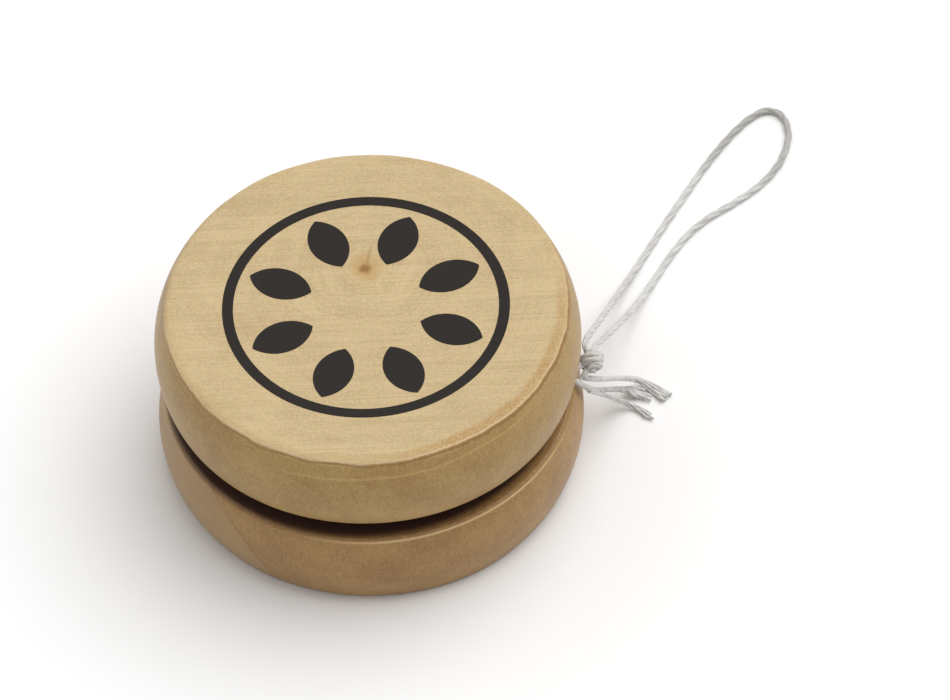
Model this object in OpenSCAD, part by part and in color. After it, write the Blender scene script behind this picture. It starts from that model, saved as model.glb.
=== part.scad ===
// Turned wooden yo-yo with a wound cotton string and a tied finger loop.
// Millimetres, +Z up. It lies on its lower face: the origin is the centre of that face.

/* [Body] */
// Largest diameter of the two halves
body_d = 55; // [50:1:60]
// Overall thickness, from one flat face to the other
body_h = 27; // [26:0.5:28]
// Width of the string gap beside the axle
axle_gap = 3; // [3:0.1:3.2]
// Width of the string gap at its mouth
mouth_gap = 3.2; // [3.2:0.1:5]
// Radius of the barrel curve round the side of a half
side_curve_r = 14; // [10:0.5:18]
// Depth of the fullest part of a half below its flat face
full_depth = 6.4; // [5.5:0.1:7]
// Rounding of the edge of the flat face
face_edge_r = 1; // [0.4:0.1:1.6]
// Rounding of the edge at the mouth of the string gap
mouth_edge_r = 0.8; // [0.4:0.1:1.2]

/* [Axle] */
// Diameter of the wooden axle
axle_d = 8; // [6:0.5:10]
// How deep the axle is glued into each half
axle_depth = 7.5; // [5:0.5:9]
// Free space left past each end of the axle for glue
glue_space = 0.5; // [0.2:0.1:1]

/* [Print] */
// Radius of the printed rosette
print_r = 18.5; // [12:0.5:20]
// Radius of the open centre of the rosette
print_open_r = 7.5; // [5:0.5:9]
// Number of petals in the rosette
petals = 8; // [5:1:12]
// Widest part of a petal
petal_w = 5; // [3:0.2:5.4]
// Width of the ring printed round the petals
ring_w = 1.4; // [0.6:0.2:2]
// Thickness of the ink
ink_t = 0.06; // [0.04:0.01:0.1]

/* [String] */
// Diameter of the twisted string
string_d = 0.9; // [0.8:0.05:0.9]
// Turns wound on the axle
wound_turns = 18; // [6:3:18]
// Diameter of the loose strand of a split tail
strand_d = 0.6; // [0.4:0.05:0.7]
// Radius of the tied knot
knot_r = 1.6; // [1.3:0.1:1.8]

/* [Hidden] */
$fn = 96;

body_r = body_d / 2;
axle_r = axle_d / 2;
mid_z = body_h / 2;
half_h = (body_h - axle_gap) / 2;      // thickness of a half beside the axle
mouth_h = (body_h - mouth_gap) / 2;    // thickness of a half at the mouth of the gap
arc_steps = 8;

// Winding: layers of turns side by side on the axle, over the eye that runs on it
eye_clearance = 0.05;
side_clearance = 0.15;
turns_across = 3;
coil_w = axle_gap - 2 * side_clearance;
eye_r = axle_r + eye_clearance + string_d / 2;
first_turn_r = eye_r + string_d;
layers = ceil(wound_turns / turns_across);
coil_outer_r = first_turn_r + (layers - 0.5) * string_d;

// The lead leaves the winding along a tangent and runs straight to the knot
knot_at = [body_r + 1.2, 0.4, mid_z];
lead_clearance = 0.1;
lead_r = coil_outer_r + lead_clearance + string_d / 2;
knot_angle = atan2(knot_at[1], knot_at[0]);
knot_reach = norm([knot_at[0], knot_at[1]]);
lead_angle = knot_angle - acos(lead_r / knot_reach);
lead_start = [lead_r * cos(lead_angle), lead_r * sin(lead_angle), mid_z];
lead_dir = (knot_at - lead_start) / norm(knot_at - lead_start);
lead_end = knot_at - lead_dir * (knot_r + lead_clearance);

// Routes of the loose string, with x measured from the rim: out of the knot, down to the
// floor and along it
loop_route = [
    [0.8, 1.7, 13.5], [0.5, 3.4, 13.2], [0.8, 5.6, 12], [2.6, 12, 7.8], [5.3, 21, 2.3],
    [8.3, 27.5, 0.6], [11.4, 33.2, 0.5], [14.8, 39.1, 0.5], [18.4, 45, 0.5], [21.7, 49.5, 0.5],
    [24.3, 52.1, 0.5], [26.4, 53, 0.5], [28.2, 51.9, 0.5], [28.9, 48.9, 0.5], [28.1, 45.3, 0.5],
    [26.5, 42.3, 0.5], [24, 39.5, 0.5], [20.9, 37.1, 0.5], [17.7, 34.9, 0.5], [14.9, 32.2, 0.5],
    [12.5, 28.8, 0.5], [10.3, 24.9, 0.6], [7.9, 20, 1.7], [5.3, 13.5, 5.4], [2.9, 7, 10],
    [1.8, 3.9, 12.3], [1.5, 1.8, 13.3]
];
long_route = [
    [0.7, -0.5, 13.2], [0.1, -1.3, 12.5], [0.9, -0.9, 11.6], [2.2, 0.4, 9.9], [3.8, 2.6, 7.2],
    [5.4, 5, 4.2], [6.6, 6.5, 2.2], [7.6, 7.1, 1], [8.6, 6.7, 0.6], [9.6, 5.9, 0.5],
    [11.1, 4.5, 0.5]
];
split_route = [
    [0.2, -1.2, 12.1], [0.2, -2, 11.2], [0.8, -1.3, 9.9], [1.7, 0.4, 7.6], [2.9, 2.6, 5],
    [4.3, 4.4, 2.8], [5.6, 5.4, 1.3], [6.9, 5.5, 0.6], [8, 5.1, 0.5], [9.1, 4.7, 0.5]
];
strand_route = [
    [1.7, -0.1, 7.6], [2.8, 1.5, 5.2], [4.1, 2.8, 2.9], [5.4, 3.3, 1.3], [6.6, 3.1, 0.5],
    [7.9, 2.2, 0.4], [9, 1.1, 0.4]
];
tube_sides = 8;

// Points along an arc, from one angle to the other
function arc(centre, r, from, to, steps = arc_steps) =
    [for (i = [0:steps]) let (a = from + (to - from) * i / steps) centre + r * [cos(a), sin(a)]];

// A smooth curve through the points of a route, with some steps from each point to the next
function route_point(p, i) = p[max(0, min(len(p) - 1, i))];
function blend_point(a, b, c, d, t) =
    (2 * b + (c - a) * t + (2 * a - 5 * b + 4 * c - d) * t * t
        + (3 * b - a - 3 * c + d) * t * t * t) / 2;
function smooth(p, steps) = [
    for (i = [0:len(p) - 2]) for (k = [0:steps - 1])
        blend_point(route_point(p, i - 1), p[i], p[i + 1], route_point(p, i + 2), k / steps),
    p[len(p) - 1]
];
function unit(v) = v / norm(v);
function along(p, i) = unit(route_point(p, i + 1) - route_point(p, i - 1));
function ring_at(p, i, r) =
    let (t = along(p, i), side = unit(cross(t, [0, 0, 1])), up = cross(side, t))
        [for (k = [0:tube_sides - 1]) let (a = 360 * k / tube_sides)
            p[i] + r * (side * cos(a) + up * sin(a))];

// A tube swept along points
module tube(p, d) {
    n = len(p);
    polyhedron(
        points = [for (i = [0:n - 1]) each ring_at(p, i, d / 2)],
        faces = concat(
            [[for (k = [0:tube_sides - 1]) k]],
            [for (i = [0:n - 2]) for (k = [0:tube_sides - 1])
                let (a = i * tube_sides + k, b = i * tube_sides + (k + 1) % tube_sides)
                    each [[a, a + tube_sides, b + tube_sides], [a, b + tube_sides, b]]],
            [[for (k = [tube_sides - 1:-1:0]) (n - 1) * tube_sides + k]]
        ),
        convexity = 8
    );
}

// Half section of one half, standing on its flat face: the barrel side has a small
// rounding at each of its two edges, and the string face is slightly coned
function side_centre() = [body_r - side_curve_r, full_depth];
function side_angle(y, r) = asin((y - full_depth) / (side_curve_r - r));
function edge_centre(y, r) =
    let (a = side_angle(y, r)) side_centre() + (side_curve_r - r) * [cos(a), sin(a)];
module half_section() {
    face_centre = edge_centre(face_edge_r, face_edge_r);
    face_a = side_angle(face_edge_r, face_edge_r);
    mouth_centre = edge_centre(mouth_h - mouth_edge_r, mouth_edge_r);
    mouth_a = side_angle(mouth_h - mouth_edge_r, mouth_edge_r);
    polygon(concat(
        [[0, 0]],
        arc(face_centre, face_edge_r, -90, face_a),
        arc(side_centre(), side_curve_r, face_a, mouth_a, 2 * arc_steps),
        arc(mouth_centre, mouth_edge_r, mouth_a, 90),
        [[axle_r, half_h], [0, half_h]]
    ));
}

module half() {
    difference() {
        rotate_extrude() half_section();
        translate([0, 0, half_h - axle_depth - glue_space])
            cylinder(r = axle_r, h = axle_depth + glue_space + 1);
    }
}

module lower_half() {
    color("burlywood") half();
}

module upper_half() {
    color("wheat") translate([0, 0, body_h]) mirror([0, 0, 1]) half();
}

module axle_dowel() {
    color("tan") translate([0, 0, half_h - axle_depth])
        cylinder(r = axle_r, h = axle_gap + 2 * axle_depth);
}

// Petal: a pointed oval between the open centre and the ring, made by two equal circles
module petal() {
    petal_l = print_r - 1.8 * ring_w - print_open_r;
    r = (petal_l * petal_l + petal_w * petal_w) / (4 * petal_w);
    translate([print_open_r + petal_l / 2, 0]) intersection() {
        translate([0, r - petal_w / 2]) circle(r = r);
        translate([0, petal_w / 2 - r]) circle(r = r);
    }
}

module printed_rosette() {
    color("#332c28") translate([0, 0, body_h]) linear_extrude(ink_t) {
        difference() {
            circle(r = print_r);
            circle(r = print_r - ring_w);
        }
        for (i = [0:petals - 1]) rotate(360 * (i + 0.5) / petals) petal();
    }
}

// Eye of the string, which runs on the bare axle
module axle_eye() {
    color("ivory") translate([0, 0, mid_z - string_d / 2]) difference() {
        cylinder(r = eye_r + string_d / 2, h = string_d);
        translate([0, 0, -1]) cylinder(r = axle_r + eye_clearance, h = string_d + 2);
    }
}

// Outer shape of the wound string
module string_coil() {
    color("ivory") translate([0, 0, mid_z - coil_w / 2]) difference() {
        cylinder(r = coil_outer_r, h = coil_w);
        translate([0, 0, -1]) cylinder(r = first_turn_r - string_d / 2, h = coil_w + 2);
    }
}

module string_lead() {
    lead_rings = 10;
    color("ivory")
        tube([for (i = [0:lead_rings - 1]) lead_start + (lead_end - lead_start) * i / (lead_rings - 1)],
            string_d);
}

module loop_knot() {
    color("ivory") translate(knot_at) sphere(r = knot_r);
}

module finger_loop() {
    color("ivory") translate([body_r, 0, 0]) tube(smooth(loop_route, 2), string_d);
}

module tail_long() {
    color("ivory") translate([body_r, 0, 0]) tube(smooth(long_route, 1), string_d);
}

module tail_split() {
    color("ivory") translate([body_r, 0, 0]) tube(smooth(split_route, 1), string_d);
}

module tail_strand() {
    color("ivory") translate([body_r, 0, 0]) tube(smooth(strand_route, 1), strand_d);
}

upper_half();
lower_half();
axle_dowel();
printed_rosette();
axle_eye();
string_coil();
string_lead();
loop_knot();
finger_loop();
tail_long();
tail_split();
tail_strand();
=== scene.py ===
"""Turned wooden yo-yo with its wound cotton string and tied finger loop, in metres."""

from __future__ import annotations

import logging
import math
from dataclasses import dataclass, field
from enum import Enum
from typing import Any, Callable, Sequence, Union

import bpy
import numpy as np
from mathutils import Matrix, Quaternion, Vector, noise

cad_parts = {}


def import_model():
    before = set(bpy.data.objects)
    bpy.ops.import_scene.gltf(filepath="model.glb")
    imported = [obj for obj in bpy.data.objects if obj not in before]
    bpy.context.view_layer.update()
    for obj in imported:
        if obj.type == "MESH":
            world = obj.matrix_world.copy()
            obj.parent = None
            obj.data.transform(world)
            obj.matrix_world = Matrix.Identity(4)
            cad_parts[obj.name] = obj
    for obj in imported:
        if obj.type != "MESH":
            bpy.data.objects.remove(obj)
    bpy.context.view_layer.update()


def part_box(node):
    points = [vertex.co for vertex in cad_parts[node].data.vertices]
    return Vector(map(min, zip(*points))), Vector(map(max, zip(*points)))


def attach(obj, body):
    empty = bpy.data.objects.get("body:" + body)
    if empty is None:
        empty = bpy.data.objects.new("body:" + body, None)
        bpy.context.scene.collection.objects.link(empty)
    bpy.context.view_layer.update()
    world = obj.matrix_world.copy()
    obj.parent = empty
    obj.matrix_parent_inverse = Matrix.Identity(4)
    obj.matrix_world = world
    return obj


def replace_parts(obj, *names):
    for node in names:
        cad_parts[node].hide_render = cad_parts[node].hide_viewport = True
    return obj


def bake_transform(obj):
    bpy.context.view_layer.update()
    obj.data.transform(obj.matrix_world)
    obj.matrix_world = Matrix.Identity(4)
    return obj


LOG = logging.getLogger("yo_yo")
MM = 0.001
TAU = 2 * math.pi
UP = Vector((0, 0, 1))

Number = Union[int, float]
Colour = tuple[float, float, float]
Profile = list[tuple[float, float]]
Link = bpy.types.NodeSocket
Material = bpy.types.Material
Piece = bpy.types.Object


# ---- shader maths


class Math(Enum):
    """The Math node's operations that the finishes use."""

    ADD = "ADD"
    SUBTRACT = "SUBTRACT"
    MULTIPLY = "MULTIPLY"
    DIVIDE = "DIVIDE"
    POWER = "POWER"
    ABSOLUTE = "ABSOLUTE"
    SINE = "SINE"
    MINIMUM = "MINIMUM"
    MAXIMUM = "MAXIMUM"


class Socket:
    """A shader value that takes part in Python arithmetic by adding Math nodes."""

    def __init__(self, graph: Graph, socket: Link) -> None:
        """Wraps a socket.

        Args:
            graph: The node tree that the socket is in.
            socket: An output that carries one number.
        """
        self.graph = graph
        self.socket = socket

    def _with(self, operation: Math, *values: Term) -> Socket:
        """Adds a Math node.

        Args:
            operation: What the node does.
            values: Its inputs in order.

        Returns:
            The node's result.
        """
        inputs = dict(enumerate(values))
        return self.graph.number("ShaderNodeMath", {"operation": operation.value}, inputs)

    def __add__(self, other: Term) -> Socket:
        """Returns self + other."""
        return self._with(Math.ADD, self, other)

    def __radd__(self, other: Number) -> Socket:
        """Returns other + self."""
        return self._with(Math.ADD, other, self)

    def __sub__(self, other: Term) -> Socket:
        """Returns self - other."""
        return self._with(Math.SUBTRACT, self, other)

    def __rsub__(self, other: Number) -> Socket:
        """Returns other - self."""
        return self._with(Math.SUBTRACT, other, self)

    def __mul__(self, other: Term) -> Socket:
        """Returns self * other."""
        return self._with(Math.MULTIPLY, self, other)

    def __rmul__(self, other: Number) -> Socket:
        """Returns other * self."""
        return self._with(Math.MULTIPLY, other, self)

    def __truediv__(self, other: Term) -> Socket:
        """Returns self / other."""
        return self._with(Math.DIVIDE, self, other)

    def __pow__(self, other: Term) -> Socket:
        """Returns self to the power of other."""
        return self._with(Math.POWER, self, other)

    def __abs__(self) -> Socket:
        """Returns the absolute value."""
        return self._with(Math.ABSOLUTE, self)

    def sine(self) -> Socket:
        """Returns the sine, of an angle in radians."""
        return self._with(Math.SINE, self)

    def at_least(self, other: Term) -> Socket:
        """Returns the larger of self and other."""
        return self._with(Math.MAXIMUM, self, other)

    def at_most(self, other: Term) -> Socket:
        """Returns the smaller of self and other."""
        return self._with(Math.MINIMUM, self, other)

    def ease(self, low: Term, high: Term, start: Number = 0, end: Number = 1) -> Socket:
        """A smooth step from one value to another.

        Args:
            low: Where the step starts.
            high: Where it ends.
            start: The result at and before low.
            end: The result at and after high.

        Returns:
            The stepped value.
        """
        return self.graph.number(
            "ShaderNodeMapRange",
            {"interpolation_type": "SMOOTHSTEP"},
            {"Value": self, "From Min": low, "From Max": high, "To Min": start, "To Max": end},
            "Result",
        )


Term = Union[Socket, Number]


class Graph:
    """The node tree of one material, with one method that makes any node."""

    def __init__(self, name: str) -> None:
        """Makes an empty material.

        Args:
            name: The material's name.
        """
        self.material = bpy.data.materials.new(name)
        self.material.use_nodes = True
        self.tree = self.material.node_tree
        self.tree.nodes.clear()

    def node(
        self,
        kind: str,
        settings: dict[str, Any] | None = None,
        inputs: dict[Any, Any] | None = None,
    ) -> bpy.types.Node:
        """Makes a node.

        Args:
            kind: The node's type.
            settings: Its properties, set before its inputs.
            inputs: Values or links by input name or number.

        Returns:
            The node.
        """
        made = self.tree.nodes.new(kind)
        for name, value in (settings or {}).items():
            setattr(made, name, value)
        for name, value in (inputs or {}).items():
            if isinstance(value, Socket):
                value = value.socket
            if isinstance(value, Link):
                self.tree.links.new(value, made.inputs[name])
            else:
                made.inputs[name].default_value = value
        return made

    def number(
        self,
        kind: str,
        settings: dict[str, Any] | None = None,
        inputs: dict[Any, Any] | None = None,
        output: str | int = 0,
    ) -> Socket:
        """Makes a node and wraps one of its outputs.

        Args:
            kind: The node's type.
            settings: Its properties.
            inputs: Its inputs.
            output: Which output to wrap.

        Returns:
            The wrapped output.
        """
        return Socket(self, self.node(kind, settings, inputs).outputs[output])

    def millimetres(self) -> Link:
        """Returns the place on the piece, in millimetres in the piece's own frame."""
        place = self.node("ShaderNodeTexCoord").outputs["Object"]
        return self.vector("SCALE", {0: place, "Scale": 1 / MM})

    def vector(self, operation: str, inputs: dict[Any, Any]) -> Link:
        """Vector maths.

        Args:
            operation: The Vector Math node's operation.
            inputs: Its inputs.

        Returns:
            The resulting vector.
        """
        return self.node("ShaderNodeVectorMath", {"operation": operation}, inputs).outputs[0]

    def length(self, vector: Link) -> Socket:
        """Returns a vector's length."""
        return self.number("ShaderNodeVectorMath", {"operation": "LENGTH"}, {0: vector}, "Value")

    def parts(self, vector: Link) -> tuple[Socket, Socket, Socket]:
        """Returns a vector's X, Y and Z."""
        split = self.node("ShaderNodeSeparateXYZ", {}, {0: vector})
        x, y, z = (Socket(self, output) for output in split.outputs)
        return x, y, z

    def joined(self, x: Term, y: Term, z: Term) -> Link:
        """Returns a vector made of three numbers."""
        return self.node("ShaderNodeCombineXYZ", {}, {0: x, 1: y, 2: z}).outputs[0]

    def noise(
        self,
        place: Link,
        size: float,
        detail: float = 2,
        roughness: float = 0.5,
        squeeze: Sequence[float] = (1, 1, 1),
        shift: Sequence[float] = (0, 0, 0),
    ) -> Socket:
        """Noise of about 0 to 1, centred on 0.5.

        Args:
            place: Where, in millimetres.
            size: The size of its spots, in millimetres.
            detail: How many finer layers it has.
            roughness: How strong the finer layers are.
            squeeze: How much finer it is along each axis.
            shift: Where it is sampled from, so that two noises differ.

        Returns:
            The noise.
        """
        at = self.vector("MULTIPLY_ADD", {0: place, 1: tuple(squeeze), 2: tuple(shift)})
        return self.number(
            "ShaderNodeTexNoise",
            {"noise_dimensions": "3D"},
            {"Vector": at, "Scale": 1 / size, "Detail": detail, "Roughness": roughness},
            "Fac",
        )

    def mix(self, factor: Term, low: Any, high: Any) -> Link:
        """Mixes two colours.

        Args:
            factor: How much of the second.
            low: The first colour.
            high: The second.

        Returns:
            The mixed colour.
        """
        settings = {"data_type": "RGBA", "blend_type": "MIX", "clamp_factor": True}
        colours = {6: self._rgba(low), 7: self._rgba(high)}
        return self.node("ShaderNodeMix", settings, {0: factor, **colours}).outputs[2]

    @staticmethod
    def _rgba(colour: Any) -> Any:
        """Returns a colour with an alpha of 1, or a socket as it is."""
        return (*colour, 1) if isinstance(colour, tuple) else colour

    def bump(self, height: Socket, depth: float) -> Link:
        """A bumpy normal.

        Args:
            height: The height, 0 to 1.
            depth: What a height of 1 is, in metres.

        Returns:
            The normal.
        """
        inputs = {"Height": height, "Distance": depth, "Strength": 1.0}
        return self.node("ShaderNodeBump", {}, inputs).outputs[0]

    def surface(self, inputs: dict[str, Any]) -> Material:
        """Finishes the material with one Principled surface.

        Args:
            inputs: The surface's inputs.

        Returns:
            The material.
        """
        shader = self.node("ShaderNodeBsdfPrincipled", {}, inputs)
        self.node("ShaderNodeOutputMaterial", {}, {"Surface": shader.outputs[0]})
        return self.material


# ---- finishes


@dataclass(frozen=True)
class Grain:
    """The colours of one cut through the wood."""

    pale: Colour
    deep: Colour


class Mark(Enum):
    """A mark that only one of the halves carries."""

    TURNING_LINE = "turning line"
    GRAIN_BOUNDARY = "grain boundary"


@dataclass(frozen=True)
class Spot:
    """A place on a half, in millimetres."""

    place: Link
    x: Socket
    y: Socket
    z: Socket
    from_axis: Socket
    below: Socket


@dataclass(frozen=True)
class TurnedWood:
    """End grain on the flat face and long grain round the side, under a thin satin lacquer.

    Sizes are in millimetres.
    """

    name: str
    face: Grain
    side: Grain
    burnt: Colour
    honey: Colour
    pith: tuple[float, float]
    face_z: float
    inner_z: float
    mark: Mark
    seed: float
    edge_radius: float = 25.75
    mouth_radius: float = 26.3
    handled_side: tuple[float, float] = (0.83, -0.56)
    # Side of the painted highlight on the lower half's mouth edge.
    mouth_highlight_side: tuple[float, float] = (0.42, -0.9)
    edge_strength: float = 1.0
    # Colour of the painted shade in the gap between the halves.
    gap_shade_colour: Colour = (0.055, 0.024, 0.023)
    lacquer_speck: Colour = (0.75, 0.68, 0.55)
    relief: float = 0.05 * MM
    line_depth: float = 2.0
    line_slope: float = 0.035
    boundary_x: float = -13.9
    boundary_reach: float = 7.4

    def material(self) -> Material:
        """Returns the wood material."""
        g = Graph(self.name)
        place = g.millimetres()
        x, y, z = g.parts(place)
        from_axis = g.length(g.joined(x, y, 0))
        below = abs(z - self.face_z)
        at = Spot(place, x, y, z, from_axis, below)
        on_face = below.ease(0.1, 0.8, 1, 0)
        wander = g.noise(place, 9, 2, shift=(self.seed, 1, 5))
        fine_wander = g.noise(place, 2.2, 3, shift=(2, self.seed, 4))
        pith_r = g.length(g.joined(x - self.pith[0], y - self.pith[1], 0))

        rings = self._rings(g, pith_r + (wander - 0.5) * 5 + (fine_wander - 0.5) * 1.1)
        saw_fine = g.noise(place, 5, 4, 0.7, (0.22, 24, 0.2), (self.seed, 0, 0))
        saw_broad = g.noise(place, 8, 3, 0.6, (0.25, 6, 0.2), (0, self.seed, 0))
        cloud = g.noise(place, 7.5, 4, 0.55, shift=(self.seed, 8, 2))
        grit = g.noise(place, 0.3, 2, 0.8, shift=(5, self.seed, 2))
        fleck = g.noise(place, 0.5, 3, 0.75, (1, 1, 0.4), (self.seed, 3, 0))
        band = g.noise(place, 5, 3, 0.6, (1, 1, 1.6), (3, self.seed, 0))

        face_tone = (
            (rings - 0.5) * pith_r.ease(6, 15, 0.42, 0.16)
            + (cloud - 0.5) * 0.7
            + (saw_fine - 0.5) * 1.25
            + (saw_broad - 0.5) * 0.45
            + (grit - 0.5) * 1.4
            + 0.55
        )
        side_tone = (
            (fleck - 0.5) * 0.8
            + (band - 0.5) * 0.7
            + (cloud - 0.5) * 1.0
            + (grit - 0.5) * 1.5
            + 0.5
        )
        face = g.mix(face_tone.ease(0.05, 0.95), self.face.deep, self.face.pale)
        side = g.mix(side_tone.ease(0.1, 0.9), self.side.deep, self.side.pale)
        side = self._marked(g, side, at)
        colour = g.mix(on_face, side, face)
        specks = grit.ease(0.71, 0.78) * cloud.ease(0.45, 0.62) * (1 - on_face)
        colour = g.mix(specks * 0.6, colour, self.lacquer_speck)
        pins = g.noise(place, 0.42, 1, 0.5, shift=(self.seed, 0, 9)).ease(0.24, 0.19) * on_face
        colour = g.mix(pins * 0.35, colour, self.burnt)
        colour = self._edge(g, colour, at)
        colour = self._heart(g, colour, at, pith_r + (fine_wander - 0.5) * 2.2)
        colour = self._mouth(g, colour, at)

        height = (
            fleck * (1 - on_face) * 0.5
            + grit * 0.25
            + (saw_fine * 0.6 + saw_broad * 0.3) * on_face
            + rings * 0.1
        )
        return g.surface(
            {
                "Base Color": colour,
                "Roughness": 0.46 + (cloud - 0.5) * 0.2 + (grit - 0.5) * 0.15 + on_face * 0.12,
                "Coat Weight": 0.22 - on_face * 0.14,
                "Normal": g.bump(height, self.relief),
                "Specular IOR Level": 0.32,
                "Coat Roughness": 0.28,
            }
        )

    @staticmethod
    def _rings(g: Graph, radius: Socket) -> Socket:
        """Growth rings.

        Args:
            g: The node tree.
            radius: Distance from the pith, wandering a little.

        Returns:
            The tone of the rings, 0 to 1.
        """
        uneven = g.noise(g.joined(radius, 0, 0), 3.6, 2)
        wave = (radius * 1.75 + uneven * 6).sine() * 0.5 + 0.5
        fine = (radius * 7.5 + uneven * 9).sine() * 0.5 + 0.5
        return wave ** 2 * 0.35 + uneven * 0.35 + fine * 0.3

    def _marked(self, g: Graph, colour: Link, at: Spot) -> Link:
        """Adds the half's own mark to its side.

        Args:
            g: The node tree.
            colour: The wood's colour so far.
            at: Where.

        Returns:
            The colour.
        """
        front = at.y.ease(-6, -2, 1, 0)
        if self.mark is Mark.TURNING_LINE:
            drift = g.noise(at.place, 6, 1) * 0.5
            off_line = abs(at.z - self.face_z + self.line_depth - at.x * self.line_slope + drift)
            fade = at.x.ease(-14, -8) * at.x.ease(16, 24, 1, 0)
            line = off_line.ease(0.05, 0.26, 1, 0) * fade * front
            return g.mix(line * 0.32, colour, tuple(1.5 * c for c in self.side.pale))
        curve = ((at.z - 2).at_least(0) * 0.1) ** 1.35 * self.boundary_reach
        past = at.x - self.boundary_x + curve + (g.noise(at.place, 3, 1) - 0.5) * 0.7
        yellow = past.ease(-0.5, 0.15, 1, 0) * front
        colour = g.mix(yellow * 0.6, colour, self.face.deep)
        low = at.z.ease(1.5, 5) * at.z.ease(8, 11, 1, 0)
        return g.mix(abs(past).ease(0.03, 0.22, 1, 0) * front * low * 0.45, colour, self.burnt)

    def _mouth(self, g: Graph, colour: Link, at: Spot) -> Link:
        """Paints shade on the string faces in the gap between the halves, and paints a highlight
        along the lower half's mouth edge.

        Args:
            g: The node tree.
            colour: The wood's colour so far.
            at: Where.

        Returns:
            The colour.
        """
        # Painted shade: darkens the string faces in the gap between the halves, reaching further
        # out on the left.
        in_gap = abs(at.z - self.inner_z)
        outward = at.from_axis + at.x / at.from_axis * 0.75
        gap_shade_mask = in_gap.ease(0.1, 0.9, 1, 0) * outward.ease(
            self.mouth_radius - 1.3, self.mouth_radius + 0.1, 1, 0
        )
        colour = g.mix(gap_shade_mask * 0.93, colour, self.gap_shade_colour)
        if self.mark is Mark.TURNING_LINE:
            return colour
        # Painted highlight: a thin light line along the lower half's mouth edge, on its
        # front-right side.
        toward = (at.x * self.mouth_highlight_side[0] + at.y * self.mouth_highlight_side[1]) / at.from_axis
        mouth_highlight = abs(at.from_axis - self.mouth_radius - 0.22).ease(0.02, 0.13, 1, 0)
        mouth_highlight = mouth_highlight * in_gap.ease(1.2, 1.8, 1, 0) * toward.ease(0.6, 1.0)
        return g.mix(mouth_highlight * 0.8, colour, tuple(1.5 * c for c in self.face.pale))

    def _edge(self, g: Graph, colour: Link, at: Spot) -> Link:
        """Burnishes the edge of the flat face, most where the half was held.

        Args:
            g: The node tree.
            colour: The wood's colour so far.
            at: Where.

        Returns:
            The colour.
        """
        toward = (at.x * self.handled_side[0] + at.y * self.handled_side[1]) / at.from_axis
        held = toward.ease(0.4, 0.98)
        front = (at.y / at.from_axis).ease(-0.9, 0.45, 1, 0)
        ragged = g.noise(at.place, 0.5, 4, 0.85, (1, 1, 0.5), (self.seed, 3, 1))
        slow = g.noise(at.place, 4.5, 2, 0.5, shift=(7, self.seed, 1))
        reach = at.from_axis + at.below * 0.3 - self.edge_radius + (slow - 0.5) * 0.8
        ripple = (ragged - 0.5) * (0.5 + held * 0.5)
        strength = front * 0.55 + held * 0.45 + slow.ease(0.35, 0.7) * 0.35
        strength = strength * at.below.ease(1.6, 3.2, 1, 0)
        wash = (abs(reach + 0.35) + ripple - held * 0.45).ease(0.1, 0.8, 1, 0)
        line = (abs(reach - 0.5) + ripple * 0.8).ease(0.04, 0.22 + held * 0.1, 1, 0)
        ridge = (abs(reach - 0.12) + ripple * 0.4).ease(0.04, 0.2, 1, 0) * (front + held * 0.6)
        ticks = g.noise(at.place, 0.32, 3, 0.8, shift=(1, 4, self.seed)).ease(0.4, 0.6)
        worn_through = ragged.ease(0.3, 0.65) * 0.6 + ticks * held * 0.6 + 0.12
        honeyed = (wash * worn_through * strength * 0.75).at_most(0.9)
        colour = g.mix(honeyed * self.edge_strength, colour, self.honey)
        scorched = line * strength * 1.1 + wash * ticks * held * strength * 0.3
        colour = g.mix((scorched * self.edge_strength).at_most(0.9), colour, self.burnt)
        polished = ridge * ragged.ease(0.25, 0.6) * 0.75
        return g.mix(polished * self.edge_strength, colour, self.face.pale)

    def _heart(self, g: Graph, colour: Link, at: Spot, from_pith: Socket) -> Link:
        """Darkens the pith and the short crack that runs out of it.

        Args:
            g: The node tree.
            colour: The wood's colour so far.
            at: Where.
            from_pith: Distance from the pith, wandering.

        Returns:
            The colour.
        """
        heart = tuple(0.9 * c for c in self.burnt)
        colour = g.mix(from_pith.ease(0.5, 3.2, 0.85, 0), colour, self.honey)
        out = at.y - self.pith[1]
        crack = abs(at.x - self.pith[0] - out * 0.22).ease(0.05, 0.4, 1, 0)
        crack = crack * out.ease(0.2, 0.8) * out.ease(2.4, 4.6, 1, 0)
        colour = g.mix(crack * 0.4, colour, self.burnt)
        return g.mix(from_pith.ease(0.2, 1.3, 0.95, 0), colour, heart)


@dataclass(frozen=True)
class PrintInk:
    """Matte pad-printing ink, slightly thin where the grain is open."""

    colour: Colour = (0.022, 0.0175, 0.0145)
    worn: Colour = (0.05, 0.04, 0.03)
    relief: float = 0.03 * MM

    def material(self) -> Material:
        """Returns the ink material."""
        g = Graph("print_ink")
        place = g.millimetres()
        grain = g.noise(place, 5, 4, 0.65, (0.4, 12, 1))
        speck = g.noise(place, 0.35, 2, 0.6)
        thin = (grain * 0.6 + speck * 0.4).ease(0.52, 0.8, 0, 0.6)
        return g.surface(
            {
                "Base Color": g.mix(thin, self.colour, self.worn),
                "Roughness": 0.55 + speck * 0.25,
                "Normal": g.bump(grain * 0.6 + speck * 0.4, self.relief),
                "Specular IOR Level": 0.18,
            }
        )


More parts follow.
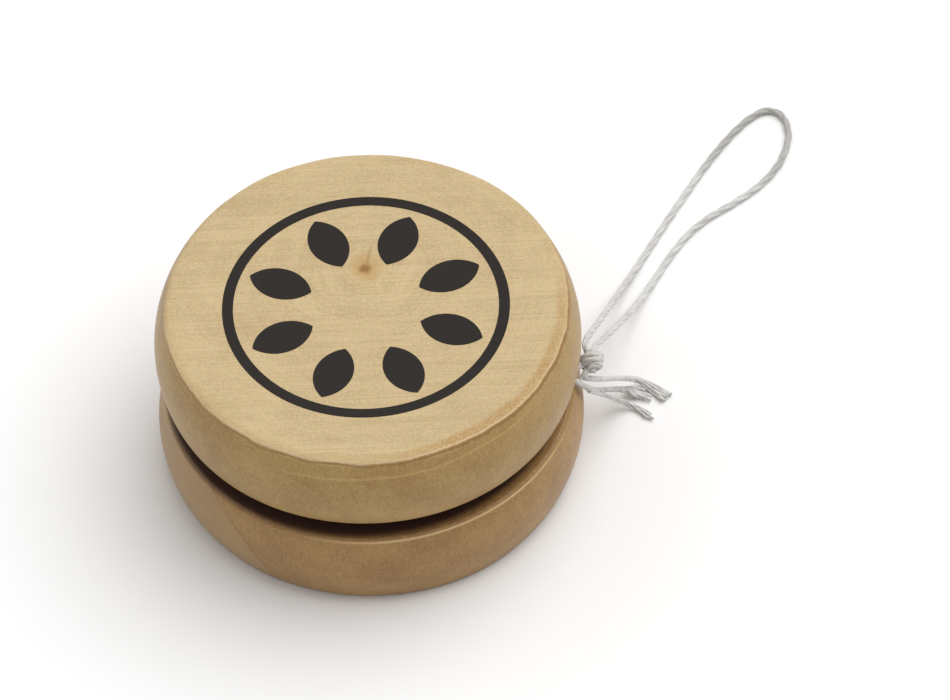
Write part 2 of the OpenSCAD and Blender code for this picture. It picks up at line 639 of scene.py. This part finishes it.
@dataclass(frozen=True)
class Cotton:
    """Undyed cotton: soft fibres that run along each ply."""

    name: str = "cotton"
    light: Colour = (0.73, 0.725, 0.705)
    shade: Colour = (0.48, 0.47, 0.45)
    # Colour and reach of the painted shade on the finger loop's tip, which turns away from the
    # light.
    tip_shade_colour: Colour = (0.30, 0.29, 0.245)
    tip_shade_from: float = 55.5
    tip_shade_to: float = 62.5
    tip_shade_slant: float = 0.35
    relief: float = 0.05 * MM

    def material(self) -> Material:
        """Returns the cotton material."""
        g = Graph(self.name)
        place = g.millimetres()
        along = g.node("ShaderNodeUVMap", {"uv_map": YARN_MAP}).outputs[0]
        fibre = g.noise(along, 0.16, 3, 0.6, (1, 0.1, 1))
        fluff = g.noise(place, 0.22, 2, 0.6)
        cloud = g.noise(place, 2.4, 2)
        tone = (fibre * 0.55 + fluff * 0.25 + cloud * 0.2).ease(0.34, 0.58)
        colour = g.mix(tone, self.shade, self.light)
        x, y, _ = g.parts(place)
        # Painted shade: darkens the tip of the finger loop, where it turns away from the light.
        reach = y + x * self.tip_shade_slant
        tip_shade = reach.ease(self.tip_shade_from, self.tip_shade_to) * (0.35 + cloud * 0.7)
        return g.surface(
            {
                "Base Color": g.mix(tip_shade * 0.75, colour, self.tip_shade_colour),
                "Roughness": 0.85 + (fluff - 0.5) * 0.2,
                "Normal": g.bump(fibre * 0.7 + fluff * 0.3, self.relief),
                "Specular IOR Level": 0.25,
                "Sheen Weight": 0.35,
                "Sheen Roughness": 0.45,
            }
        )


@dataclass(frozen=True)
class StudioPaper:
    """Plain pale paper under the yo-yo."""

    colour: Colour = (0.93, 0.93, 0.93)

    def material(self) -> Material:
        """Returns the paper material."""
        return Graph("studio_paper").surface(
            {"Base Color": (*self.colour, 1), "Roughness": 0.9, "Specular IOR Level": 0.1}
        )


# ---- mesh helpers

YARN_MAP = "yarn"
UV_GAP = 7


def add_mesh(
    name: str,
    points: Sequence[Sequence[float]],
    faces: Sequence[Sequence[int]],
    material: Material,
    uvs: Sequence[tuple[float, float]] | None = None,
) -> Piece:
    """Makes a smooth-shaded mesh object.

    Args:
        name: The piece's name.
        points: Its points, in metres.
        faces: Its faces.
        material: Its finish.
        uvs: A place on the yarn for each point, in millimetres.

    Returns:
        The object.
    """
    mesh = bpy.data.meshes.new(name)
    mesh.from_pydata([tuple(p) for p in points], [], [tuple(f) for f in faces])
    if uvs is not None:
        layer = mesh.uv_layers.new(name=YARN_MAP)
        flat = np.array(uvs, np.float32)[[loop.vertex_index for loop in mesh.loops]]
        layer.data.foreach_set("uv", flat.ravel())
    mesh.validate()
    mesh.shade_smooth()
    mesh.materials.append(material)
    made = bpy.data.objects.new(name, mesh)
    bpy.context.scene.collection.objects.link(made)
    return made


def dress(node: str, material: Material) -> None:
    """Gives a carried-over CAD node its finish.

    Args:
        node: The node's name.
        material: Its finish.
    """
    mesh = bpy.data.objects[node].data
    mesh.materials.clear()
    mesh.materials.append(material)


def arc(
    centre: tuple[float, float], radius: float, start: float, end: float, steps: int
) -> Profile:
    """Points along an arc.

    Args:
        centre: Its centre.
        radius: Its radius.
        start: Its first angle, in degrees.
        end: Its last.
        steps: How many steps it takes.

    Returns:
        The points, both ends included.
    """
    angles = [math.radians(start + (end - start) * i / steps) for i in range(steps + 1)]
    return [
        (centre[0] + radius * math.cos(a), centre[1] + radius * math.sin(a)) for a in angles
    ]


def smooth_route(points: Sequence[Sequence[float]], steps: int = 24) -> np.ndarray:
    """The same smooth curve through a route's points as the frame's tubes follow.

    Args:
        points: The route.
        steps: Steps from each point to the next.

    Returns:
        The curve's points.
    """
    p = np.array(points, float)
    ends = np.vstack([p[:1], p, p[-1:]])
    t = np.linspace(0, 1, steps, endpoint=False)[:, None]
    pieces = []
    for i in range(len(p) - 1):
        a, b, c, d = ends[i : i + 4]
        pieces.append(
            (
                2 * b
                + (c - a) * t
                + (2 * a - 5 * b + 4 * c - d) * t**2
                + (3 * b - a - 3 * c + d) * t**3
            )
            / 2
        )
    return np.vstack([*pieces, p[-1:]])


def route_length(route: np.ndarray) -> float:
    """Returns the length of a line of points."""
    return float(np.linalg.norm(np.diff(route, axis=0), axis=1).sum())


def evenly(route: np.ndarray, spacing: float) -> np.ndarray:
    """Points spaced evenly along a line.

    Args:
        route: The line's points.
        spacing: The distance between the new points.

    Returns:
        The new points, both ends included.
    """
    so_far = np.concatenate([[0], np.cumsum(np.linalg.norm(np.diff(route, axis=0), axis=1))])
    wanted = np.linspace(0, so_far[-1], max(3, round(so_far[-1] / spacing) + 1))
    return np.stack([np.interp(wanted, so_far, route[:, k]) for k in range(3)], axis=1)


def frames_along(route: np.ndarray) -> tuple[np.ndarray, np.ndarray]:
    """Two directions across a line at each of its points, which don't twist along it.

    Args:
        route: The line's points.

    Returns:
        The two directions.
    """
    tangents = np.gradient(route, axis=0)
    tangents /= np.linalg.norm(tangents, axis=1)[:, None]
    side = np.cross(tangents[0], UP)
    if np.linalg.norm(side) < 1e-3:
        side = np.cross(tangents[0], (1, 0, 0))
    sides = []
    for tangent in tangents:
        side = side - (side @ tangent) * tangent
        side = side / np.linalg.norm(side)
        sides.append(side)
    across = np.array(sides)
    return across, np.cross(tangents, across)


# ---- string


class Cut(Enum):
    """How a cut tail ends: the share of its length over which its threads stop."""

    FLAT = 0.02
    ROUND = 0.06
    FRAYED = 0.12


@dataclass
class Yarn:
    """A string laid up from plies. Sizes in metres."""

    diameter: float
    plies: int = 3
    lay: float = 7.4 * MM
    sides: int = 10
    spacing: float = 0.2 * MM
    ply_share: float = 0.285
    offset_share: float = 0.21

    @property
    def ply_radius(self) -> float:
        """Radius of one ply."""
        return self.diameter * self.ply_share

    @property
    def ply_offset(self) -> float:
        """Distance of a ply's centre from the string's."""
        return self.diameter * self.offset_share

    def make(
        self,
        name: str,
        route: np.ndarray,
        material: Material,
        scale: Callable[[float], float] = lambda t: 1.0,
    ) -> Piece:
        """Sweeps the plies along a route.

        Args:
            name: The piece's name.
            route: The string's centreline.
            material: Its finish.
            scale: The thickness at each share of the length.

        Returns:
            The piece.
        """
        line = evenly(route, self.spacing)
        across, upward = frames_along(line)
        count = len(line)
        s = np.linspace(0, route_length(line), count)
        shares = np.linspace(0, 1, count)
        size = np.array([scale(t) for t in shares])[:, None]
        points, faces, uvs = [], [], []
        ring = np.arange(self.sides)
        for ply in range(self.plies):
            turn = TAU * (ply / self.plies + s / self.lay)
            heading = np.cos(turn)[:, None] * across + np.sin(turn)[:, None] * upward
            centre = line + heading * self.ply_offset * size
            start = len(points)
            for i in range(count):
                for k in ring:
                    a = TAU * k / self.sides + turn[i]
                    out = math.cos(a) * across[i] + math.sin(a) * upward[i]
                    points.append(centre[i] + out * self.ply_radius * size[i])
                    round_ply = k / self.sides * self.ply_radius * TAU / MM
                    uvs.append((round_ply + UV_GAP * ply, s[i] / MM))
            faces += skin(start, count, self.sides)
        return add_mesh(name, points, faces, material, uvs)


def skin(start: int, rings: int, sides: int) -> list[tuple[int, ...]]:
    """Faces of a closed tube of rings.

    Args:
        start: The number of its first point.
        rings: How many rings it has.
        sides: How many points a ring has.

    Returns:
        The faces, with an end face at each end.
    """
    faces: list[tuple[int, ...]] = []
    for i in range(rings - 1):
        low = start + i * sides
        for k in range(sides):
            nxt = (k + 1) % sides
            faces.append((low + k, low + nxt, low + sides + nxt, low + sides + k))
    faces.append(tuple(start + k for k in reversed(range(sides))))
    faces.append(tuple(start + (rings - 1) * sides + k for k in range(sides)))
    return faces


@dataclass
class Winding:
    """The string wound on the axle, three turns wide, over the eye. Sizes in metres."""

    yarn: Yarn
    axle_radius: float
    height: float
    outer_radius: float
    turns: int = 18
    turns_across: int = 3
    steps_per_turn: int = 72
    eye_clearance: float = 0.05 * MM
    climb: float = 0.35
    pitch: float = 0.95

    @property
    def eye_radius(self) -> float:
        """Radius of the eye's centreline."""
        return self.axle_radius + self.eye_clearance + self.yarn.diameter / 2

    def route(self, end_angle: float) -> np.ndarray:
        """The wound string's centreline.

        Args:
            end_angle: Where the last turn ends, in radians.

        Returns:
            Its points, from the axle outwards.
        """
        d = self.yarn.diameter
        level = self.turns_across - self.climb
        points = []
        for i in range(self.turns * self.steps_per_turn + 1):
            turn = i / self.steps_per_turn
            layer, share = divmod(turn, self.turns_across)
            rise = max(0.0, share - level) / self.climb
            sweep = (min(share, level) / level) * 2 - 1
            z = self.height + sweep * d * self.pitch * (1 if layer % 2 == 0 else -1)
            radius = self.eye_radius + d * (1 + layer + rise)
            radius = min(radius, self.outer_radius - d / 2)
            angle = end_angle - (self.turns - turn) * TAU
            points.append((radius * math.cos(angle), radius * math.sin(angle), z))
        return np.array(points)

    def build(self, cotton: Material, lead_angle: float) -> Piece:
        """Makes the eye and the winding.

        Args:
            cotton: The string's finish.
            lead_angle: Where the lead leaves the winding, in radians.

        Returns:
            The winding.
        """
        angles = np.linspace(0, TAU, 97)
        circle = np.stack([np.cos(angles), np.sin(angles), 0 * angles], axis=1)
        eye_route = circle * self.eye_radius + (0, 0, self.height)
        eye = self.yarn.make("axle_eye_string", eye_route, cotton)
        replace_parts(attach(eye, "wound_string"), "axle_eye")
        route = self.route(lead_angle)
        coil = self.yarn.make("wound_turns", route, cotton)
        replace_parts(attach(coil, "wound_string"), "string_coil")
        return coil


@dataclass
class Tail:
    """A cut end of string that leaves the knot, its threads spread flat towards the cut.

    The route and the widths are in millimetres, the rest in metres.
    """

    name: str
    node: str
    route: Sequence[tuple[float, float, float]]
    widths: Sequence[tuple[float, float]]
    cut: Cut
    threads: int = 11
    seed: int = 1
    thread_sides: int = 7
    spacing: float = 0.2 * MM
    lay: float = 7 * MM
    thread_share: float = 0.2
    stray: float = 0.07
    opened_by: float = 0.6 * MM
    flattening: float = 0.65
    golden_turn: float = 0.382

    def build(self, cotton: Material, rim: float) -> Piece:
        """Makes the tail.

        Args:
            cotton: Its finish.
            rim: The yo-yo's radius, which the route's x starts from.

        Returns:
            The tail.
        """
        rng = np.random.default_rng(self.seed)
        line = evenly(smooth_route(np.array(self.route) * MM + (rim, 0, 0)), self.spacing)
        heading = np.gradient(line, axis=0)
        across = np.cross((0, 0, 1), heading)
        across /= np.linalg.norm(across, axis=1, keepdims=True)
        upward = np.cross(heading, across)
        upward /= np.linalg.norm(upward, axis=1, keepdims=True)
        length = route_length(line)
        shares = np.linspace(0, 1, len(line))
        width = np.interp(shares, *zip(*self.widths)) * MM
        narrow = min(w for _, w in self.widths) * MM
        thread_r = narrow * self.thread_share
        points, faces, uvs = [], [], []
        for thread in range(self.threads):
            fan = thread / (self.threads - 1) * 2 - 1
            phase = TAU * thread * self.golden_turn
            edge = abs(fan) if self.cut is Cut.ROUND else rng.random()
            stop = 1 - self.cut.value * edge
            count = max(4, int(len(line) * stop))
            stray = rng.normal(0, self.stray)
            start = len(points)
            for i in range(count):
                t = shares[i]
                open_out = min(1.0, max(0.0, (width[i] - narrow) / self.opened_by))
                turn = phase + TAU * t * length / self.lay
                half = width[i] / 2 - thread_r
                depth = half * (1 - self.flattening * open_out)
                twisted = math.cos(turn) * (1 - open_out)
                x = half * (twisted + (fan + stray * open_out) * open_out)
                y = depth * math.sin(turn)
                centre = line[i] + across[i] * x + upward[i] * y
                uneven = 0.93 + 0.14 * math.sin(9 * t + phase)
                size = thread_r * (1 + 0.35 * open_out) * uneven
                for k in range(self.thread_sides):
                    a = TAU * k / self.thread_sides
                    out = math.cos(a) * across[i] + math.sin(a) * upward[i]
                    points.append(centre + out * size)
                    uvs.append((thread * 3 + k * 0.1, t * length / MM))
            faces += skin(start, count, self.thread_sides)
        tail = add_mesh(self.name, points, faces, cotton, uvs)
        LOG.info("%s: %.1f mm of string", self.name, length / MM)
        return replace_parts(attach(tail, "finger_end"), self.node)


@dataclass
class FingerEnd:
    """Knot, finger loop and tails. The routes are in millimetres, with x from the rim."""

    yarn: Yarn
    rim: float
    knot: Vector
    knot_radius: float
    wraps: float = 3.2
    wrap_steps: int = 150
    first_angle: float = 2.2
    wrap_height: float = 2.3
    wrap_lean: float = 0.16 * MM
    core_reach: float = 1.5 * MM
    core_share: float = 1.35
    loop_route: Sequence[tuple[float, float, float]] = (
        (0.8, 1.7, 13.5), (0.5, 3.4, 13.2), (0.8, 5.6, 12), (2.6, 12, 7.8), (5.3, 21, 2.3),
        (8.3, 27.5, 0.6), (11.4, 33.2, 0.5), (14.8, 39.1, 0.5), (18.4, 45, 0.5),
        (21.7, 49.5, 0.5), (24.3, 52.1, 0.5), (26.4, 53, 0.5), (28.2, 51.9, 0.5),
        (28.9, 48.9, 0.5), (28.1, 45.3, 0.5), (26.5, 42.3, 0.5), (24, 39.5, 0.5),
        (20.9, 37.1, 0.5), (17.7, 34.9, 0.5), (14.9, 32.2, 0.5), (12.5, 28.8, 0.5),
        (10.3, 24.9, 0.6), (7.9, 20, 1.7), (5.3, 13.5, 5.4), (2.9, 7, 10),
        (1.8, 3.9, 12.3), (1.5, 1.8, 13.3),
    )
    tails: Sequence[Tail] = field(
        default_factory=lambda: (
            Tail(
                "long_tail", "tail_long",
                ((0.7, -0.5, 13.2), (0.1, -1.3, 12.5), (0.9, -0.9, 11.6), (2.2, 0.4, 9.9),
                 (3.8, 2.6, 7.2), (5.4, 5, 4.2), (6.6, 6.5, 2.2), (7.6, 7.1, 1), (8.6, 6.7, 0.6),
                 (9.6, 5.9, 0.5), (11.1, 4.5, 0.5)),
                ((0, 0.85), (0.2, 0.8), (0.5, 0.74), (0.75, 1.0), (0.9, 1.35), (1, 1.7)),
                Cut.FLAT, seed=3,
            ),
            Tail(
                "split_tail", "tail_split",
                ((-1.2, -1.9, 12.6), (-0.2, -2.1, 11.9), (0.7, -1.4, 10.2), (1.7, 0.4, 7.6),
                 (2.9, 2.6, 5), (4.3, 4.4, 2.8), (5.6, 5.4, 1.3), (6.9, 5.5, 0.6), (8, 5.1, 0.5),
                 (9.1, 4.7, 0.5)),
                ((0, 0.85), (0.3, 0.9), (0.55, 0.76), (0.75, 1.0), (0.9, 1.6), (1, 1.9)),
                Cut.FRAYED, seed=5,
            ),
            Tail(
                "split_strand", "tail_strand",
                ((0.7, -1.8, 10.1), (1.7, -0.1, 7.6), (2.8, 1.5, 5.2), (4.1, 2.8, 2.9),
                 (5.4, 3.3, 1.3), (6.6, 3.1, 0.5), (7.9, 2.2, 0.4), (9, 1.1, 0.4)),
                ((0, 0.6), (0.5, 0.64), (0.75, 0.8), (0.9, 1.1), (1, 1.3)),
                Cut.ROUND, threads=7, seed=8,
            ),
        )
    )

    def build(self, cotton: Material) -> None:
        """Makes the finger end.

        Args:
            cotton: The string's finish.
        """
        pieces = [tail.build(cotton, self.rim) for tail in self.tails]
        knot = self._knot(cotton)
        route = smooth_route(np.array(self.loop_route) * MM + (self.rim, 0, 0))
        loop = self.yarn.make("finger_loop_string", route, cotton)
        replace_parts(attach(loop, "finger_end"), "finger_loop")
        evenly(route, 0.5 * MM)

    def _knot(self, cotton: Material) -> Piece:
        """Makes the overhand knot: a wrap of string round the doubled string.

        Args:
            cotton: Its finish.

        Returns:
            The knot.
        """
        d = self.yarn.diameter
        axis = Vector((0, -0.92, -0.39)).normalized()
        side = axis.cross(Vector((1, 0, 0))).normalized()
        front = side.cross(axis).normalized()
        wrap_r = self.knot_radius - d / 2
        wrap = []
        for i in range(self.wrap_steps + 1):
            t = i / self.wrap_steps
            angle = TAU * self.wraps * t + self.first_angle
            tuck = min(1.0, 7 * t, 7 * (1 - t))
            radius = wrap_r * (0.3 + 0.7 * tuck) * (1.1 - 0.22 * abs(2 * t - 0.7))
            rise = (0.5 - t) * d * self.wrap_height
            lean = self.wrap_lean * math.sin(angle + 0.6)
            out = math.cos(angle) * front + math.sin(angle) * side
            wrap.append(self.knot + out * radius - axis * (rise + lean))
        knot = self.yarn.make("overhand_knot", np.array(wrap), cotton)
        reach = axis * self.core_reach
        core = np.array([self.knot - reach, self.knot, self.knot + reach])
        middle = Yarn(d * self.core_share, lay=self.yarn.lay).make("knot_core", core, cotton)
        middle.parent = knot
        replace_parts(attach(knot, "finger_end"), "loop_knot")
        return knot


@dataclass
class Lead:
    """The straight string from the winding to the knot."""

    yarn: Yarn
    start: Vector
    end: Vector

    def build(self, cotton: Material) -> Piece:
        """Makes the straight lead.

        Args:
            cotton: Its finish.

        Returns:
            The lead.
        """
        route = np.array([self.start, self.start.lerp(self.end, 0.5), self.end])
        lead = self.yarn.make("lead_string", route, cotton)
        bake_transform(lead)
        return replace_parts(lead, "string_lead")


# ---- wooden body


@dataclass
class Half:
    """One turned half. Sizes in metres."""

    name: str
    node: str
    radius: float
    face_z: float
    inner_z: float
    axle_radius: float
    axle_depth: float = 8.0 * MM
    side_curve: float = 14 * MM
    full_depth: float = 6.4 * MM
    face_edge: float = 1.0 * MM
    mouth_edge: float = 0.8 * MM
    mouth_drop: float = 0.1 * MM
    wobble: float = 0.2 * MM
    worn_at: float = 1.9 * MM
    worn_across: float = 1.5 * MM
    worn_down: float = 2.2 * MM
    seed: float = 0.0
    segments: int = 360

    def _edge(self, depth: float, rounding: float) -> tuple[tuple[float, float], float]:
        """The centre and the angle of an edge's rounding.

        Args:
            depth: The depth of its centre below the flat face.
            rounding: Its radius.

        Returns:
            Its centre and the angle at which it meets the side curve, in degrees.
        """
        reach = self.side_curve - rounding
        angle = math.asin((depth - self.full_depth) / reach)
        centre = (
            self.radius - self.side_curve + reach * math.cos(angle),
            self.full_depth + reach * math.sin(angle),
        )
        return centre, math.degrees(angle)

    def profile(self) -> Profile:
        """The half section, as radius and depth below the flat face."""
        height = abs(self.face_z - self.inner_z)
        mouth = height - self.mouth_drop
        face_centre, face_angle = self._edge(self.face_edge, self.face_edge)
        mouth_centre, mouth_angle = self._edge(mouth - self.mouth_edge, self.mouth_edge)
        side_centre = (self.radius - self.side_curve, self.full_depth)
        flat = [(face_centre[0] * t, 0.0) for t in (0, 0.25, 0.5, 0.7, 0.82, 0.9, 0.95, 0.98)]
        return [
            *flat,
            *arc(face_centre, self.face_edge, -90, face_angle, 10),
            *arc(side_centre, self.side_curve, face_angle, mouth_angle, 36)[1:],
            *arc(mouth_centre, self.mouth_edge, mouth_angle, 90, 8)[1:],
            (self.radius * 0.6, height - self.mouth_drop * 0.35),
            (self.axle_radius, height),
            (self.axle_radius, height - self.axle_depth),
            (0.0, height - self.axle_depth),
        ]

    def _worn(self, radius: float, depth: float, angle: float) -> tuple[float, float]:
        """Hand sanding: the edge of the flat face wanders a little round the half.

        Args:
            radius: Distance from the axis.
            depth: Depth below the flat face.
            angle: Angle round the axis.

        Returns:
            The worn radius and depth.
        """
        where = Vector((math.cos(angle) * 1.6 + self.seed, math.sin(angle) * 1.6, self.seed))
        slow = noise.noise(where)
        quick = noise.noise(where * 3.2)
        near_edge = math.exp(-(((radius - self.radius + self.worn_at) / self.worn_across) ** 2))
        near_edge *= math.exp(-((depth / self.worn_down) ** 2))
        side = min(1.0, depth / (3 * MM))
        radius += self.wobble * near_edge * (1.3 * slow + 0.5 * quick)
        radius += self.wobble * 0.35 * side * slow * (radius > self.radius * 0.8)
        return radius, depth

    def build(self, wood: Material, slot: str) -> Piece:
        """Makes the half.

        Args:
            wood: Its finish.
            slot: Not used.

        Returns:
            The half.
        """
        profile = self.profile()
        outward = 1 if self.face_z > self.inner_z else -1
        points: list[tuple[float, float, float]] = []
        rows: list[list[int]] = []
        for radius, depth in profile:
            if radius <= 0:
                rows.append([len(points)] * self.segments)
                points.append((0, 0, self.face_z - outward * depth))
                continue
            rows.append(list(range(len(points), len(points) + self.segments)))
            for k in range(self.segments):
                angle = TAU * k / self.segments
                r, down = self._worn(radius, depth, angle)
                z = self.face_z - outward * down
                points.append((r * math.cos(angle), r * math.sin(angle), z))
        faces = []
        for low, high in zip(rows, rows[1:]):
            for k in range(self.segments):
                nxt = (k + 1) % self.segments
                corners = list(dict.fromkeys([low[k], high[k], high[nxt], low[nxt]]))
                faces.append(corners if outward > 0 else corners[::-1])
        half = add_mesh(self.name, points, faces, wood)
        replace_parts(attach(half, "yo_yo"), self.node)
        LOG.info("%s: %d faces", self.name, len(faces))
        return half


# ---- studio


@dataclass
class Studio:
    """Pale paper, soft light and the camera."""

    centre: Vector = Vector((13.72 * MM, 4.48 * MM, 12 * MM))
    elevation: float = math.radians(50)
    roll: float = math.radians(-2.7)
    distance: float = 1.9
    lens: float = 556.6
    sensor: float = 36.0
    floor_radius: float = 8.0
    floor_sides: int = 64
    fill: float = 0.32

    def build(self) -> None:
        """Sets up the camera, the floor and the lights."""
        self._camera()
        self._floor()
        self._sun("key", strength=1.7, spread=60, azimuth=30, elevation=64)
        self._sun("overhead", strength=1.0, spread=110, azimuth=120, elevation=80)
        world = bpy.data.worlds.new("studio")
        world.use_nodes = True
        shade = world.node_tree.nodes["Background"].inputs
        shade["Color"].default_value = (1, 1, 1, 1)
        shade["Strength"].default_value = self.fill
        bpy.context.scene.world = world
        bpy.context.scene.view_settings.view_transform = "Standard"

    def _camera(self) -> None:
        """Places the camera in front of the yo-yo, looking down on it."""
        data = bpy.data.cameras.new("camera")
        data.lens, data.sensor_width = self.lens, self.sensor
        data.clip_start, data.clip_end = 0.01, 50
        camera = bpy.data.objects.new("camera", data)
        bpy.context.scene.collection.objects.link(camera)
        back = Vector((0, -math.cos(self.elevation), math.sin(self.elevation)))
        camera.location = self.centre + back * self.distance
        camera.rotation_mode = "QUATERNION"
        level = (-back).to_track_quat("-Z", "Y")
        camera.rotation_quaternion = level @ Quaternion((0, 0, 1), self.roll)
        bpy.context.scene.camera = camera

    def _floor(self) -> None:
        """Lays the paper."""
        count, radius = self.floor_sides, self.floor_radius
        angles = [TAU * k / count for k in range(count)]
        points = [(radius * math.cos(a), radius * math.sin(a), 0) for a in angles]
        floor = add_mesh("studio_floor", points, [range(count)], StudioPaper().material())

    @staticmethod
    def _sun(name: str, strength: float, spread: float, azimuth: float, elevation: float) -> None:
        """Adds a broad soft light.

        Args:
            name: Its name.
            strength: Its strength.
            spread: How wide it looks, in degrees.
            azimuth: Where it shines from, in degrees anticlockwise from +X.
            elevation: How high it stands, in degrees.
        """
        data = bpy.data.lights.new(name, "SUN")
        data.energy, data.angle = strength, math.radians(spread)
        light = bpy.data.objects.new(name, data)
        bpy.context.scene.collection.objects.link(light)
        a, e = math.radians(azimuth), math.radians(elevation)
        towards = Vector((math.cos(a) * math.cos(e), math.sin(a) * math.cos(e), math.sin(e)))
        light.rotation_mode = "QUATERNION"
        light.rotation_quaternion = towards.to_track_quat("Z", "Y")


def string_lead(
    knot: Vector, coil_radius: float, yarn: Yarn, clearance: float
) -> tuple[Vector, float]:
    """Where the lead leaves the winding, along a tangent towards the knot.

    Args:
        knot: The knot's centre.
        coil_radius: The winding's outer radius.
        yarn: The string.
        clearance: The lead's distance from the winding.

    Returns:
        The lead's first point, and its angle round the axle in radians.
    """
    radius = coil_radius + clearance + yarn.diameter / 2
    reach = math.hypot(knot.x, knot.y)
    angle = math.atan2(knot.y, knot.x) - math.acos(radius / reach)
    return Vector((radius * math.cos(angle), radius * math.sin(angle), knot.z)), angle


def main() -> None:
    """Builds the yo-yo around its frame, piece by piece."""
    logging.basicConfig(level=logging.INFO, format="%(name)s: %(message)s")
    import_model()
    Studio().build()

    upper_low, upper_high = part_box("upper_half")
    lower_low, lower_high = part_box("lower_half")
    coil_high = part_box("string_coil")[1]
    knot_low, knot_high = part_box("loop_knot")
    axle_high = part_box("axle_dowel")[1]
    lead_low, lead_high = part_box("string_lead")
    knot = (knot_low + knot_high) / 2
    yarn = Yarn(lead_high.z - lead_low.z)

    cotton = Cotton().material()
    lead_start, lead_angle = string_lead(knot, coil_high.x, yarn, 0.1 * MM)
    FingerEnd(yarn, upper_high.x, knot, (knot_high - knot_low).x / 2).build(cotton)
    Lead(yarn, lead_start, knot).build(cotton)
    Winding(
        Yarn(yarn.diameter, sides=6, spacing=0.45 * MM), axle_high.x, knot.z, coil_high.x
    ).build(cotton, lead_angle)

    rim = upper_high.x
    pale = TurnedWood(
        "pale_turned_wood", face=Grain((0.625, 0.475, 0.265), (0.465, 0.34, 0.168)),
        side=Grain((0.45, 0.29, 0.098), (0.325, 0.185, 0.052)), burnt=(0.29, 0.145, 0.040),
        honey=(0.50, 0.305, 0.105),
        pith=(0.2, 6.6), face_z=upper_high.z / MM, inner_z=upper_low.z / MM,
        mark=Mark.TURNING_LINE, seed=2.3,
    )
    tan = TurnedWood(
        "tan_turned_wood", face=Grain((0.52, 0.37, 0.19), (0.40, 0.26, 0.12)),
        side=Grain((0.43, 0.252, 0.086), (0.30, 0.158, 0.050)), burnt=(0.19, 0.09, 0.032),
        honey=(0.40, 0.23, 0.08),
        pith=(-15.0, -7.0), face_z=lower_low.z / MM, inner_z=lower_high.z / MM,
        mark=Mark.GRAIN_BOUNDARY, seed=9.1, edge_strength=0.4,
    )
    Half(
        "upper_turned_half", "upper_half", rim, upper_high.z, upper_low.z, axle_high.x, seed=1.7
    ).build(pale.material(), "pale_wood")
    Half(
        "lower_turned_half", "lower_half", rim, lower_low.z, lower_high.z, axle_high.x, seed=6.2
    ).build(tan.material(), "tan_wood")
    dress("axle_dowel", tan.material())
    dress("printed_rosette", PrintInk().material())


if __name__ == "__main__":
    main()
